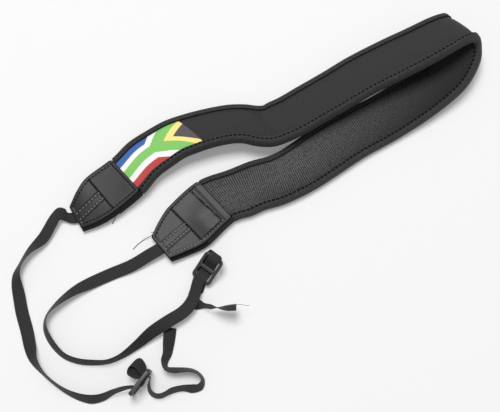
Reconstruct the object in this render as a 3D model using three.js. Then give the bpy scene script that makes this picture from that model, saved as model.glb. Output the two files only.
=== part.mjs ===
import * as THREE from "three";

// Camera neck strap, in millimetres, lying on a table. X is to the right, Y is away, Z is up.

// Layers of the pad, measured from the middle of the neoprene towards its outer face.
const pad = { outer: 2.0, inner: -2.0, tipOuter: -0.8 };
const lining = { outer: -2.3, inner: -3.3 };
const leather = { thick: 1.2, gap: 0.3, inner: -3.7, near: 3, far: 0.4, corner: 1.8 };
const tape = { thick: 1.0, gap: 0.3, leg: 5.5 };
const webbing = { half: 5, thick: 1.0, tucked: -2.85 };

// Strap slider: a frame with rounded corners and a middle bar.
const slider = { long: 24, wide: 17, thick: 3, corner: 3.4, rail: 2.4, bar: 2.8, edge: 0.4 };
const sliderA = { x: -83, y: -140, z: 9.5, heading: 52.4, pitch: 4, roll: -89 };
const sliderB = { x: -33, y: -52.3, z: 8.8, heading: 53.5, pitch: 28, roll: 0 };

// Middle of the plan, which becomes the origin.
const middle = { x: 1.5, y: 1.3 };

// A row for each section. across is the direction in plan towards the near edge, and rise is how
// far that edge is tilted up, both in degrees. half is half the width over the binding.
const padColumns = ["x", "y", "z", "across", "rise", "half"];
const padRows = [
  [-137.7, -12, 5.2, -59, 0, 11.8],
  [-127.9, -3.2, 5.2, -52, 0, 17],
  [-118.1, 6.1, 5.6, -50, 2, 20],
  [-97.9, 22.4, 7.5, -48, 6, 19.8],
  [-85.4, 36.3, 9, -50, 10, 19.4],
  [-72.2, 45.6, 10.4, -54, 14, 19.2],
  [-60.5, 52.6, 11.7, -61, 17, 19],
  [-48.5, 57, 12.7, -68, 19, 18.8],
  [-37, 60.5, 13.2, -71, 20, 18.5],
  [-24, 63.5, 13.7, -75, 21, 18.4],
  [-14, 65, 13.7, -80, 21, 18.4],
  [-4, 65.2, 13.2, -90, 22, 18.6],
  [5, 63.8, 12.7, -91, 22, 19.2],
  [14.5, 63.8, 12.2, -78, 22, 20.2],
  [23, 67.2, 12.2, -65, 21, 20.6],
  [33, 71.7, 13.2, -60, 20, 20.4],
  [48, 80.5, 14, -58, 20, 20.5],
  [69, 92.5, 16, -60, 20, 20.5],
  [89, 104.2, 18.5, -61, 20, 20.7],
  [117, 118, 22, -63, 20, 20.7],
  [137, 127, 26, -61, 21, 20.3],
  [154, 135.5, 29, -57, 22, 19.6],
  [162.6, 139.8, 29, -53, 22, 18.9],
  [169, 142.8, 26, -49, 21, 18.4],
  [172.4, 143, 20.2, -45, 20, 18.3],
  [173.4, 139, 14.8, -39, 20, 18.8],
  [172, 131.6, 12, -32, 20, 20],
  [168.6, 122, 11, -31, 19, 20.4],
  [160, 108.5, 9, -41, 14, 20.5],
  [139, 91.6, 6, -53, 6, 20.5],
  [109, 72.6, 3.6, -58, 0, 20.5],
  [80.7, 57, 3.6, -57, 0, 21],
  [58.5, 42.4, 3.6, -57, 0, 21.4],
  [43.6, 32.2, 3.6, -60, 0, 21.1],
  [31.5, 25, 3.6, -68, 0, 20.7],
  [20, 19.8, 3.6, -74, 0, 20.7],
  [6, 15.7, 3.6, -73, 0, 20.8],
  [-8, 9.7, 3.6, -62, 0, 21],
  [-26.5, 2.8, 3.7, -48, 0, 22],
  [-49, -18, 3.7, -46, 0, 22.2],
  [-60.3, -28, 3.7, -47, 0, 18],
  [-69.5, -36.6, 3.7, -50, 0, 13],
];
const capRows = 3;

// The rows between which the pad folds over. Its layers have closer sections there.
const fold = { from: 20, to: 28 };

// The free run of each strap, from its cap to its slider, and then its tail.
const runColumns = ["x", "y", "z", "across", "rise"];
const runA = [
  [-142.6, -10.6, 3, -62, 0],
  [-146.6, -8.6, 5.2, -90, -20],
  [-151.2, -8, 6.4, -80, -6],
  [-155.6, -13.4, 5.6, -54, 6],
  [-163.6, -27.2, 3.6, -40, 12],
  [-174, -38, 4.8, -40, 50],
  [-180, -48, 5.2, -24, 62],
  [-182.8, -56, 4.6, -4, 46],
  [-182.2, -64, 3.2, 8, 24],
  [-180.4, -72.5, 1.7, 14, 8],
  [-177.3, -86, 1.1, 17, 0],
  [-172.8, -100, 1.1, 17, 0],
  [-169.4, -112.5, 2.4, 18, 14],
  [-165.6, -123, 4.8, 26, 48],
  [-157.5, -133, 5.5, 40, 72],
  [-147.8, -141.2, 5.5, 52, 74],
  [-138, -147.2, 5.4, 60, 68],
  [-128, -151, 5.2, 70, 58],
  [-120, -152.3, 5, 86, 52],
  [-112, -150.8, 5.4, 106, 60],
  [-103.6, -146.8, 6.4, 112, 72],
  [-95.2, -144.1, 7.8, 122, 76],
];
const tailA = [
  [-77, -141.5, 6.8, 0, 74],
  [-75.8, -146.3, 6, 36, 70],
  [-72.3, -149.4, 5.7, 65, 70],
  [-67.8, -149.8, 5.6, 96, 71],
  [-63.5, -148, 5.5, 118, 73],
  [-59, -145.7, 5.4, 114, 68],
  [-51, -144, 5.2, 92, 66],
  [-43.5, -144.3, 4.8, 92, 54],
  [-37.8, -142.8, 5.2, 135, 62],
  [-35.9, -138, 5.4, 188, 76],
  [-38.6, -133.5, 5.4, 230, 76],
  [-44, -130.8, 5.3, 254, 70],
  [-51, -130.2, 5.1, 268, 64],
  [-58, -130.4, 5, 268, 60],
  [-64, -129, 5.3, 240, 68],
  [-65.3, -124, 5.1, 176, 62],
  [-63.5, -118, 4.6, 160, 50],
  [-62.8, -111, 3.6, 168, 34],
  [-62.2, -104, 2.7, 170, 22],
  [-61.8, -97.5, 1.8, 170, 10],
];
const runB = [
  [-79, -41, 5.4, -60, 0],
  [-93, -49, 3, -62, 0],
  [-108, -55, 1.2, -66, 0],
  [-124.5, -62.5, 1.6, -64, 8],
  [-137, -69, 3.4, -60, 34],
  [-149, -78.5, 5, -48, 56],
  [-156.5, -87, 5.4, -32, 70],
  [-158.6, -93.5, 5.4, -8, 70],
  [-157.4, -100.5, 5.2, 14, 62],
  [-152, -110, 5, 36, 60],
  [-142.5, -119.4, 5.2, 55, 66],
  [-131.5, -123.6, 5.3, 76, 68],
  [-120, -124.7, 5.4, 92, 70],
  [-108.5, -124, 5.8, 110, 75],
  [-98.6, -120, 6.2, 124, 72],
  [-86.8, -111.4, 6.8, 127, 55],
  [-75.6, -102, 7.6, 126, 28],
  [-63, -93.5, 8, 126, 8],
  [-51, -85.6, 7.6, 132, 0],
  [-44.9, -77.8, 7, 141, 0],
];
const tailB = [
  [-40.5, -66, 0.9, -30, 0],
  [-43.6, -72.6, 1, 10, 0],
  [-42, -78.8, 3.2, 64, 28],
  [-35.6, -81, 6, 82, 72],
  [-29.6, -82.4, 9.4, 90, 78],
  [-23.5, -83.6, 12, 90, 106],
  [-17, -83.9, 14, 90, 124],
  [-10.5, -83.6, 15.5, 90, 128],
];

// The way through each slider, in the slider's own frame. lean turns the edge towards the loop end.
const passColumns = ["along", "above", "side", "lean"];
const passA = [
  [-7.4, 3.9, 0, 20],
  [-5.6, 1.9, 0, 14],
  [-4, -0.4, 0, 5],
  [-2, -2.25, 0, 0],
  [0, -2.4, 0, 0],
  [2, -2.1, 0, 0],
  [3.4, -0.8, 0, 0],
  [3.4, 1.6, 0, -16],
  [3.2, 4.6, 0, -40],
  [2.9, 8, 0, -52],
  [3, 11.4, 0, -54],
  [5.6, 13.4, 0, -54],
  [8.4, 13.3, 0, -54],
  [10.2, 11.2, 0, -54],
  [9.8, 7.6, 0, -50],
  [8.6, 4.2, 0, -40],
  [7.4, 1.6, 0, -16],
  [7, -0.8, 0, -6],
  [7.4, -3.4, 0, 0],
];
const passB = [
  [-12.4, 2.7, 0, 180],
  [-10, 2.5, 0, 180],
  [-7.5, 1.5, 0, 180],
  [-4.5, -0.9, 0, 180],
  [-2, -2.25, 0, 180],
  [0, -2.4, 0, 180],
  [2, -2.25, 0, 180],
  [4.5, -0.9, 0, 180],
  [7.5, 1.6, -0.3, 180],
  [10, 2.6, -0.8, 180],
  [12.4, 2.3, -0.9, 180],
  [13, 0.5, -0.6, 180],
  [13.1, -2, 0.6, 180],
  [12.2, -4.6, 2.2, 180],
  [9, -5.8, 3.4, 180],
  [3, -5, 3.4, 180],
  [-4, -4, 2, 180],
  [-9.6, -3, 1, 180],
];

const radians = THREE.MathUtils.degToRad;

const named = (columns, rows) =>
  rows.map((row) => Object.fromEntries(columns.map((name, i) => [name, row[i]])));

// A section of a ribbon: its centre, the direction of its edge and half its width.
function placed({ x, y, z, across, rise, half = webbing.half }) {
  const flat = Math.cos(radians(rise));
  const edge = new THREE.Vector3(
    flat * Math.cos(radians(across)),
    flat * Math.sin(radians(across)),
    Math.sin(radians(rise)),
  );
  return { centre: new THREE.Vector3(x, y, z), edge, half };
}

function sliderFrame({ x, y, z, heading, pitch, roll }) {
  const turn = new THREE.Euler(radians(roll), radians(-pitch), radians(heading), "ZYX");
  return new THREE.Matrix4().makeRotationFromEuler(turn).setPosition(x, y, z);
}

function passed(frame, { along, above, side, lean }) {
  const edge = new THREE.Vector3(Math.sin(radians(lean)), -Math.cos(radians(lean)), 0);
  return {
    centre: new THREE.Vector3(along, side, above).applyMatrix4(frame),
    edge: edge.transformDirection(frame),
    half: webbing.half,
  };
}

// A ribbon through its sections. at(t) gives the frame at t sections from the start.
function ribbon(sections) {
  const last = sections.length - 1;
  const centres = new THREE.CatmullRomCurve3(sections.map((s) => s.centre));
  const edges = new THREE.CatmullRomCurve3(sections.map((s) => s.edge), false, "catmullrom");
  const at = (t) => {
    const row = Math.min(Math.floor(t), last - 1);
    const along = centres.getTangent(t / last);
    const edge = edges.getPoint(t / last).normalize();
    const face = new THREE.Vector3().crossVectors(edge, along).normalize();
    const half = THREE.MathUtils.lerp(sections[row].half, sections[row + 1].half, t - row);
    return { t, centre: centres.getPoint(t / last), edge, face, half };
  };
  return { last, at };
}

// Frames along a ribbon, so many to a section.
function evenly(strip, steps) {
  return Array.from({ length: strip.last * steps + 1 }, (_, i) => strip.at(i / steps));
}

// A closed solid through a ring of [across, out] points at every station. The four-sided facets
// between two stations are split along the shorter diagonal of the ribbon there.
function lofted(frames, ringAt) {
  const rings = frames.map((frame) => ringAt(frame));
  const size = rings[0].length;
  const points = frames.flatMap(({ centre, edge, face }, i) =>
    rings[i].map(([across, out]) =>
      centre.clone().addScaledVector(edge, across).addScaledVector(face, out),
    ),
  );
  const faces = [];
  for (let i = 0; i + 1 < rings.length; i += 1) {
    const step = frames[i + 1].centre.clone().sub(frames[i].centre);
    const drift = step.dot(frames[i].edge) + step.dot(frames[i + 1].edge);
    for (let j = 0; j < size; j += 1) {
      const here = i * size + j;
      const next = i * size + ((j + 1) % size);
      const turn = rings[i][(j + 1) % size][0] - rings[i][j][0];
      if (turn * drift < 0) {
        faces.push(here, here + size, next + size, here, next + size, next);
      } else {
        faces.push(here, here + size, next, next, here + size, next + size);
      }
    }
  }
  const end = (rings.length - 1) * size;
  const flat = (ring) => ring.map(([across, out]) => new THREE.Vector2(across, out));
  THREE.ShapeUtils.triangulateShape(flat(rings[0]), []).forEach(([a, b, c]) => faces.push(a, b, c));
  THREE.ShapeUtils.triangulateShape(flat(rings.at(-1)), []).forEach(([a, b, c]) =>
    faces.push(end + c, end + b, end + a),
  );
  return new THREE.BufferGeometry().setFromPoints(points).setIndex(faces);
}

const padStrip = ribbon(named(padColumns, padRows).map(placed));
const fromTip = (t) => Math.min(t, padStrip.last - t);

// Frames along the pad between two places. All its layers share the sections between them.
function padFrames(from, to) {
  const places = [from];
  const step = (t) => (t >= fold.from && t < fold.to ? 0.25 : 0.5);
  for (let t = 0; t < to - 0.01; t += step(t)) {
    if (t > from + 0.01) places.push(t);
  }
  return [...places, to].map(padStrip.at);
}

// The pad thins towards each tip, where the leather is drawn down onto the webbing.
function padOuter(t) {
  const left = Math.max(0, 1 - fromTip(t) / 2);
  return pad.outer - (pad.outer - pad.tipOuter) * left * left;
}

// Under a cap the pad is as wide as the cap, and past it the edge tapes take up the difference.
function padHalf({ t, half }) {
  const bare = THREE.MathUtils.smoothstep(fromTip(t), capRows - 0.5, capRows);
  return half - 0.2 - bare * (tape.thick + tape.gap);
}

function padRing(frame) {
  const top = padOuter(frame.t);
  const half = padHalf(frame);
  const round = 0.25 * (top - pad.inner);
  return [
    [-half, pad.inner + round],
    [round - half, pad.inner],
    [half - round, pad.inner],
    [half, pad.inner + round],
    [half, top - round],
    [half - round, top],
    [round - half, top],
    [-half, top - round],
  ];
}

const slab = (half, low, high) => [
  [-half, low],
  [half, low],
  [half, high],
  [-half, high],
];

// An edge tape folded over the edge of the pad and the lining. side is 1 at the near edge.
function tapeRing({ half }, side) {
  const top = pad.outer + tape.gap;
  const low = lining.inner - tape.gap;
  const wall = half - tape.thick;
  const leg = half - tape.leg;
  const ring = [
    [leg, top],
    [wall, top],
    [wall, low],
    [leg, low],
    [leg, low - tape.thick * 0.8],
    [wall, low - tape.thick],
    [half - 0.3, low - tape.thick * 0.4],
    [half, low + 1],
    [half, top - 1],
    [half - 0.3, top + tape.thick * 0.4],
    [wall, top + tape.thick],
    [leg, top + tape.thick * 0.8],
  ];
  return side > 0 ? ring : ring.map(([across, out]) => [-across, out]).reverse();
}

// A leather panel over one face of an end: rounded at its inner end, drawn down at the tip. It
// leaves a strip of the pad bare along the near edge.
function panelRing(frame, isOuter) {
  const rounding = Math.max(0, fromTip(frame.t) - capRows + 0.12) / 0.12;
  const half = frame.half - leather.corner * rounding * rounding;
  const low = isOuter ? padOuter(frame.t) + leather.gap : leather.inner - leather.thick;
  return [
    [leather.far - half, low],
    [half - leather.near, low],
    [half - leather.near, low + leather.thick],
    [leather.far - half, low + leather.thick],
  ];
}

// The sections of a panel, closer together where its corners are rounded.
function panelFrames(atEndB) {
  const places = [0, 0.5, 1, 1.5, 2, 2.5, 2.88, 2.92, 2.96, 3];
  const along = places.map((place) => (atEndB ? padStrip.last - place : place));
  return (atEndB ? along.reverse() : along).map((t) => padStrip.at(t));
}

const webbingRing = () => slab(webbing.half, -webbing.thick / 2, webbing.thick / 2);

// The end of a strap that is stitched in under the leather of its cap.
function tucked(places) {
  return places.map((t) => {
    const { centre, edge, face } = padStrip.at(t);
    return { centre: centre.addScaledVector(face, webbing.tucked), edge, half: webbing.half };
  });
}

function strap(capPlaces, run, place, pass, tail) {
  const frame = sliderFrame(place);
  return ribbon([
    ...tucked(capPlaces),
    ...named(runColumns, run).map(placed),
    ...named(passColumns, pass).map((row) => passed(frame, row)),
    ...named(runColumns, tail).map(placed),
  ]);
}

function roundedRectangle(Kind, long, wide, corner, shift = 0) {
  const x = long / 2;
  const y = wide / 2;
  const outline = new Kind();
  outline.moveTo(shift - x + corner, -y);
  outline.lineTo(shift + x - corner, -y);
  outline.absarc(shift + x - corner, corner - y, corner, -Math.PI / 2, 0);
  outline.lineTo(shift + x, y - corner);
  outline.absarc(shift + x - corner, y - corner, corner, 0, Math.PI / 2);
  outline.lineTo(shift - x + corner, y);
  outline.absarc(shift - x + corner, y - corner, corner, Math.PI / 2, Math.PI);
  outline.lineTo(shift - x, corner - y);
  outline.absarc(shift - x + corner, corner - y, corner, Math.PI, Math.PI * 1.5);
  return outline;
}

function sliderBody(place) {
  const { long, wide, thick, corner, rail, bar, edge } = slider;
  const body = roundedRectangle(THREE.Shape, long - 2 * edge, wide - 2 * edge, corner - edge);
  const slot = (long - 2 * rail - bar) / 2;
  const shift = (slot + bar) / 2;
  [-shift, shift].forEach((at) => {
    body.holes.push(roundedRectangle(THREE.Path, slot + 2 * edge, wide - 2 * rail + 2 * edge, 1.2, at));
  });
  const geometry = new THREE.ExtrudeGeometry(body, {
    depth: thick - 2 * edge,
    bevelSize: edge,
    bevelThickness: edge,
    bevelSegments: 1,
    curveSegments: 4,
  });
  geometry.translate(0, 0, edge - thick / 2);
  return geometry.applyMatrix4(sliderFrame(place));
}

const cloth = { neoprene: 0x3c3a3b, mesh: 0x464646, tape: 0x333132, webbing: 0x36342f };
const leatherColour = 0x525252;
const plastic = { color: 0x4b484e, roughness: 0.4 };

const strapGroup = new THREE.Group();
strapGroup.name = "camera_neck_strap";

function add(name, geometry, color, roughness = 0.9) {
  const mesh = new THREE.Mesh(geometry, new THREE.MeshStandardMaterial({ color, roughness, metalness: 0 }));
  mesh.name = name;
  mesh.position.set(-middle.x, -middle.y, 0);
  strapGroup.add(mesh);
}

const last = padStrip.last;
const pastCap = capRows + 0.03;
const bodyFrames = padFrames(pastCap, last - pastCap);

add("neck_pad", lofted(padFrames(0, last), padRing), cloth.neoprene);
add(
  "grip_lining",
  lofted(padFrames(2.1, last - 2.1), (frame) =>
    slab(padHalf(frame) - 0.1, lining.inner, lining.outer),
  ),
  cloth.mesh,
);
add("binding_near", lofted(bodyFrames, (frame) => tapeRing(frame, 1)), cloth.tape);
add("binding_far", lofted(bodyFrames, (frame) => tapeRing(frame, -1)), cloth.tape);
add("cap_outer_a", lofted(panelFrames(false), (frame) => panelRing(frame, true)), leatherColour, 0.55);
add("cap_inner_a", lofted(panelFrames(false), (frame) => panelRing(frame, false)), leatherColour, 0.55);
add("cap_outer_b", lofted(panelFrames(true), (frame) => panelRing(frame, true)), leatherColour, 0.55);
add("cap_inner_b", lofted(panelFrames(true), (frame) => panelRing(frame, false)), leatherColour, 0.55);

const strapA = strap([1.9, 1.4, 0.9, 0.4], runA, sliderA, passA, tailA);
const strapB = strap([last - 1.9, last - 1.4, last - 0.9, last - 0.4], runB, sliderB, passB, tailB);
add("webbing_a", lofted(evenly(strapA, 3), webbingRing), cloth.webbing);
add("webbing_b", lofted(evenly(strapB, 3), webbingRing), cloth.webbing);
add("slider_a", sliderBody(sliderA), plastic.color, plastic.roughness);
add("slider_b", sliderBody(sliderB), plastic.color, plastic.roughness);

export default strapGroup;
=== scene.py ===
import math
from types import SimpleNamespace

import bpy
import numpy as np
from mathutils import Matrix, Vector


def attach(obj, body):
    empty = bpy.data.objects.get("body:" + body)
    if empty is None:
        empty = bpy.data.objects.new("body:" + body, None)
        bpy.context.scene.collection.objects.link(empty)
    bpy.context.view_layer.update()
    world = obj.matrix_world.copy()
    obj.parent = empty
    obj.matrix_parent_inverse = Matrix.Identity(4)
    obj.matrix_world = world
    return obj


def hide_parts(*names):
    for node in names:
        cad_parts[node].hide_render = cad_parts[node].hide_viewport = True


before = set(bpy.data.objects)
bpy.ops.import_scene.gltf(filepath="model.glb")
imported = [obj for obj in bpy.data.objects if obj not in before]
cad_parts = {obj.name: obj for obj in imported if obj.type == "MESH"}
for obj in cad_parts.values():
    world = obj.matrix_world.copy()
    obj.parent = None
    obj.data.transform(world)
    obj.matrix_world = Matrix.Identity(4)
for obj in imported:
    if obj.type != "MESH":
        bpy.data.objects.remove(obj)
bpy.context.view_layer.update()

# Table top: a white acrylic sheet under the strap, lit a little from below, by a pale room and by one
# broad lamp behind it on the left. The camera hangs above the table, 14 degrees off straight down.
MM = 0.001
PLAN_MIDDLE = np.array([1.5, 1.3, 0.0])
SHEET_WHITE, SHEET_GLOW = "#dddddd", 0.18
CAMERA_MM = (0.0, -193.5, 776.2)
CAMERA_TILT = 14.0
SENSOR_WIDTH, LENS = 36, 72
LAMP_MM = (-400.0, 1100.0, 3850.0)
LAMP_SIZE = 1.8
LAMP_WATTS = 132.0
ROOM_LIGHT = 0.32

scene = bpy.context.scene
scene.view_settings.view_transform = "Standard"


def linear(hex_colour):
    parts = [int(hex_colour[i : i + 2], 16) / 255 for i in (1, 3, 5)]
    return (*[p / 12.92 if p <= 0.04045 else ((p + 0.055) / 1.055) ** 2.4 for p in parts], 1.0)


def node(tree, kind, inputs=None, **settings):
    made = tree.nodes.new(kind)
    for name, value in settings.items():
        setattr(made, name, value)
    for key, value in (inputs or {}).items():
        if isinstance(value, bpy.types.NodeSocket):
            tree.links.new(value, made.inputs[key])
        else:
            made.inputs[key].default_value = value
    return made


def finish_of(name, **sockets):
    made = bpy.data.materials.new(name)
    made.use_nodes = True
    tree = made.node_tree
    tree.nodes.clear()
    shader = node(
        tree,
        "ShaderNodeBsdfPrincipled",
        {key.replace("_", " "): value for key, value in sockets.items()},
    )
    node(tree, "ShaderNodeOutputMaterial", {"Surface": shader.outputs["BSDF"]})
    return SimpleNamespace(material=made, tree=tree, shader=shader)


# White acrylic, matt: its own glow lifts the shadows, so that only the soft ones close by show.
sheet = finish_of(
    "white_acrylic",
    Base_Color=linear(SHEET_WHITE),
    Roughness=0.9,
    Specular_IOR_Level=0.1,
    Emission_Color=(1, 1, 1, 1),
    Emission_Strength=SHEET_GLOW,
)
sheet_mesh = bpy.data.meshes.new("table_top")
SHEET_REACH = 6.0
sheet_mesh.from_pydata(
    [(x * SHEET_REACH, y * SHEET_REACH, 0) for x, y in ((-1, -1), (1, -1), (1, 1), (-1, 1))],
    [],
    [(0, 1, 2, 3)],
)
sheet_mesh.materials.append(sheet.material)
table_top = bpy.data.objects.new("table_top", sheet_mesh)
scene.collection.objects.link(table_top)

room = bpy.data.worlds.new("pale_room")
room.use_nodes = True
room.node_tree.nodes["Background"].inputs["Color"].default_value = (1, 1, 1, 1)
room.node_tree.nodes["Background"].inputs["Strength"].default_value = ROOM_LIGHT
scene.world = room

lamp_data = bpy.data.lights.new("lamp", "AREA")
lamp_data.energy = LAMP_WATTS
lamp_data.size = LAMP_SIZE
lamp = bpy.data.objects.new("lamp", lamp_data)
lamp.location = Vector(LAMP_MM) * MM
lamp.rotation_euler = (-lamp.location).to_track_quat("-Z", "Y").to_euler()
scene.collection.objects.link(lamp)

camera_data = bpy.data.cameras.new("camera")
camera_data.sensor_width = SENSOR_WIDTH
camera_data.lens = LENS
camera = bpy.data.objects.new("camera", camera_data)
camera.location = Vector((np.array(CAMERA_MM) - PLAN_MIDDLE) * MM)
camera.rotation_euler = (math.radians(CAMERA_TILT), 0, 0)
scene.collection.objects.link(camera)
scene.camera = camera

# Neck pad: a waved strip of 4 mm neoprene foam faced with smooth knit, folded over once, its first
# half leaning with the near edge up. A flag is printed on the cloth next to the first cap.
PAD_COLUMNS = ("x", "y", "z", "across", "rise", "half")
PAD_ROWS = [
    [-137.7, -12, 5.2, -59, 0, 11.8],
    [-127.9, -3.2, 5.2, -52, 0, 17],
    [-118.1, 6.1, 5.6, -50, 2, 20],
    [-97.9, 22.4, 7.5, -48, 6, 19.8],
    [-85.4, 36.3, 9, -50, 10, 19.4],
    [-72.2, 45.6, 10.4, -54, 14, 19.2],
    [-60.5, 52.6, 11.7, -61, 17, 19],
    [-48.5, 57, 12.7, -68, 19, 18.8],
    [-37, 60.5, 13.2, -71, 20, 18.5],
    [-24, 63.5, 13.7, -75, 21, 18.4],
    [-14, 65, 13.7, -80, 21, 18.4],
    [-4, 65.2, 13.2, -90, 22, 18.6],
    [5, 63.8, 12.7, -91, 22, 19.2],
    [14.5, 63.8, 12.2, -78, 22, 20.2],
    [23, 67.2, 12.2, -65, 21, 20.6],
    [33, 71.7, 13.2, -60, 20, 20.4],
    [48, 80.5, 14, -58, 20, 20.5],
    [69, 92.5, 16, -60, 20, 20.5],
    [89, 104.2, 18.5, -61, 20, 20.7],
    [117, 118, 22, -63, 20, 20.7],
    [137, 127, 26, -61, 21, 20.3],
    [154, 135.5, 29, -57, 22, 19.6],
    [162.6, 139.8, 29, -53, 22, 18.9],
    [169, 142.8, 26, -49, 21, 18.4],
    [172.4, 143, 20.2, -45, 20, 18.3],
    [173.4, 139, 14.8, -39, 20, 18.8],
    [172, 131.6, 12, -32, 20, 20],
    [168.6, 122, 11, -31, 19, 20.4],
    [160, 108.5, 9, -41, 14, 20.5],
    [139, 91.6, 6, -53, 6, 20.5],
    [109, 72.6, 3.6, -58, 0, 20.5],
    [80.7, 57, 3.6, -57, 0, 21],
    [58.5, 42.4, 3.6, -57, 0, 21.4],
    [43.6, 32.2, 3.6, -60, 0, 21.1],
    [31.5, 25, 3.6, -68, 0, 20.7],
    [20, 19.8, 3.6, -74, 0, 20.7],
    [6, 15.7, 3.6, -73, 0, 20.8],
    [-8, 9.7, 3.6, -62, 0, 21],
    [-26.5, 2.8, 3.7, -48, 0, 22],
    [-49, -18, 3.7, -46, 0, 22.2],
    [-60.3, -28, 3.7, -47, 0, 18],
    [-69.5, -36.6, 3.7, -50, 0, 13],
]
CAP_ROWS = 3
FOAM = SimpleNamespace(
    outer=2.0, inner=-2.0, tip_outer=-0.8, rounding=0.25, crown=0.9, crown_from=0.4, dip=0.35, slack=0.2
)
# A soft crease crosses the pad where it bends: how far along, its slant, depth and width.
CREASE = SimpleNamespace(middle=173.5, slant=0.47, deep=2.2, wide=3.4)
TAPE = SimpleNamespace(thick=1.0, gap=0.3, leg=5.5, flat_from=-1.5, full_from=4.0)
CLOTH_STEP, STEPS_A_ROW = 1.2, 40
# The foam narrows at each cap to make room for the tape, within this part of a row.
SHOULDER = 0.04


def through(points, places, centripetal):
    """Points and directions on the curve through points, at places counted in points."""
    points = np.asarray(points, float)
    row = np.minimum(places.astype(int), len(points) - 2)
    w = (places - row)[:, None]
    ends = np.vstack([2 * points[0] - points[1], points, 2 * points[-1] - points[-2]])
    p0, p1, p2, p3 = (ends[row + k] for k in range(4))
    if centripetal:
        d0, d1, d2 = (
            np.sqrt(np.linalg.norm(b - a, axis=1, keepdims=True))
            for a, b in ((p0, p1), (p1, p2), (p2, p3))
        )
        m1 = ((p1 - p0) / d0 - (p2 - p0) / (d0 + d1) + (p2 - p1) / d1) * d1
        m2 = ((p2 - p1) / d1 - (p3 - p1) / (d1 + d2) + (p3 - p2) / d2) * d1
    else:
        m1, m2 = (p2 - p0) / 2, (p3 - p1) / 2
    c2 = 3 * (p2 - p1) - 2 * m1 - m2
    c3 = 2 * (p1 - p2) + m1 + m2
    return p1 + w * (m1 + w * (c2 + w * c3)), m1 + w * (2 * c2 + 3 * w * c3)


def unit(vectors):
    return vectors / np.linalg.norm(vectors, axis=-1, keepdims=True)


def edge_towards(across, rise):
    across, rise = math.radians(across), math.radians(rise)
    flat = math.cos(rise)
    return (flat * math.cos(across), flat * math.sin(across), math.sin(rise))


class Strip:
    """A flat strip through its sections: where it lies, which way its edge and its face point."""

    def __init__(self, centres, edges, halves):
        self.centres, self.edges = np.asarray(centres, float), np.asarray(edges, float)
        self.halves = np.asarray(halves, float)[:, None]
        self.last = len(self.centres) - 1
        self.fine = np.linspace(0, self.last, self.last * STEPS_A_ROW + 1)
        way, _ = through(self.centres, self.fine, True)
        steps = np.linalg.norm(np.diff(way, axis=0), axis=1)
        self.lengths = np.concatenate([[0], np.cumsum(steps)])

    def length_at(self, place):
        return np.interp(place, self.fine, self.lengths)

    def place_at(self, length):
        return np.interp(length, self.lengths, self.fine)

    def at(self, places):
        places = np.asarray(places, float)
        centre, along = through(self.centres, places, True)
        edge = unit(through(self.edges, places, False)[0])
        return SimpleNamespace(
            place=places,
            centre=centre,
            edge=edge,
            along=unit(along),
            face=unit(np.cross(edge, along)),
            half=through(self.halves, places, False)[0][:, 0],
            length=self.length_at(places),
        )

    def evenly(self, start, stop, step):
        first, final = self.length_at(start), self.length_at(stop)
        count = max(2, round((final - first) / step) + 1)
        return self.at(self.place_at(np.linspace(first, final, count)))


def on_strip(laid, across, out):
    """Places in metres, so far across a strip and so far out of its face in millimetres."""
    across, out = np.asarray(across)[..., None], np.asarray(out)[..., None]
    extra = (slice(None),) + (None,) * (across.ndim - 2)
    spot = laid.centre[extra] + laid.edge[extra] * across + laid.face[extra] * out
    return (spot - PLAN_MIDDLE) * MM


def piece(name, points, faces, material, cloth=None, sharp=45):
    mesh = bpy.data.meshes.new(name)
    mesh.from_pydata(points.reshape(-1, 3).tolist(), [], faces)
    if cloth is not None:
        corners = np.empty(len(mesh.loops), int)
        mesh.loops.foreach_get("vertex_index", corners)
        layer = mesh.uv_layers.new(name="cloth")
        layer.data.foreach_set("uv", cloth.reshape(-1, 2)[corners].ravel().astype(np.float32))
    mesh.polygons.foreach_set("use_smooth", [True] * len(mesh.polygons))
    mesh.set_sharp_from_angle(angle=math.radians(sharp))
    mesh.materials.append(material)
    made = bpy.data.objects.new(name, mesh)
    scene.collection.objects.link(made)
    return made


def lofted(name, laid, across, out, material, sharp=45):
    """A closed solid through one ring of across and out distances at each station."""
    rings, size = across.shape
    here = np.arange(rings * size).reshape(rings, size)
    beside = np.roll(here, -1, axis=1)
    sides = np.stack([here[:-1], here[1:], beside[1:], beside[:-1]], axis=-1).reshape(-1, 4)
    faces = sides.tolist() + [here[0].tolist(), here[-1][::-1].tolist()]
    lengths = np.broadcast_to(laid.length[:, None], across.shape)
    cloth = np.stack([lengths, across], axis=-1)
    return piece(name, on_strip(laid, across, out), faces, material, cloth, sharp)


def keep(made, slot, *nodes):
    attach(made, "root")
    if nodes:
        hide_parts(*nodes)
    return made


rows = [dict(zip(PAD_COLUMNS, row)) for row in PAD_ROWS]
pad_strip = Strip(
    [(r["x"], r["y"], r["z"]) for r in rows],
    [edge_towards(r["across"], r["rise"]) for r in rows],
    [r["half"] for r in rows],
)


def smooth(low, high, value):
    x = np.clip((value - low) / (high - low), 0, 1)
    return x * x * (3 - 2 * x)


def from_tip(place):
    return np.minimum(place, pad_strip.last - place)


def foam_outer(place):
    left = np.maximum(0, 1 - from_tip(place) / 2)
    return FOAM.outer - (FOAM.outer - FOAM.tip_outer) * left**2


def foam_half(laid):
    bare = smooth(CAP_ROWS - SHOULDER, CAP_ROWS, from_tip(laid.place))
    return laid.half - FOAM.slack - bare * (TAPE.thick + TAPE.gap)


# Knitted nylon over foam: matt, with a fine irregular grain. The real stitch is half a millimetre
# and would not show, so the grain is drawn at 1.3 mm. The print is flat colour on the same cloth.
KNIT_GREY, KNIT_DARK, KNIT_GRAIN = "#383637", "#262425", 1.3
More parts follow.
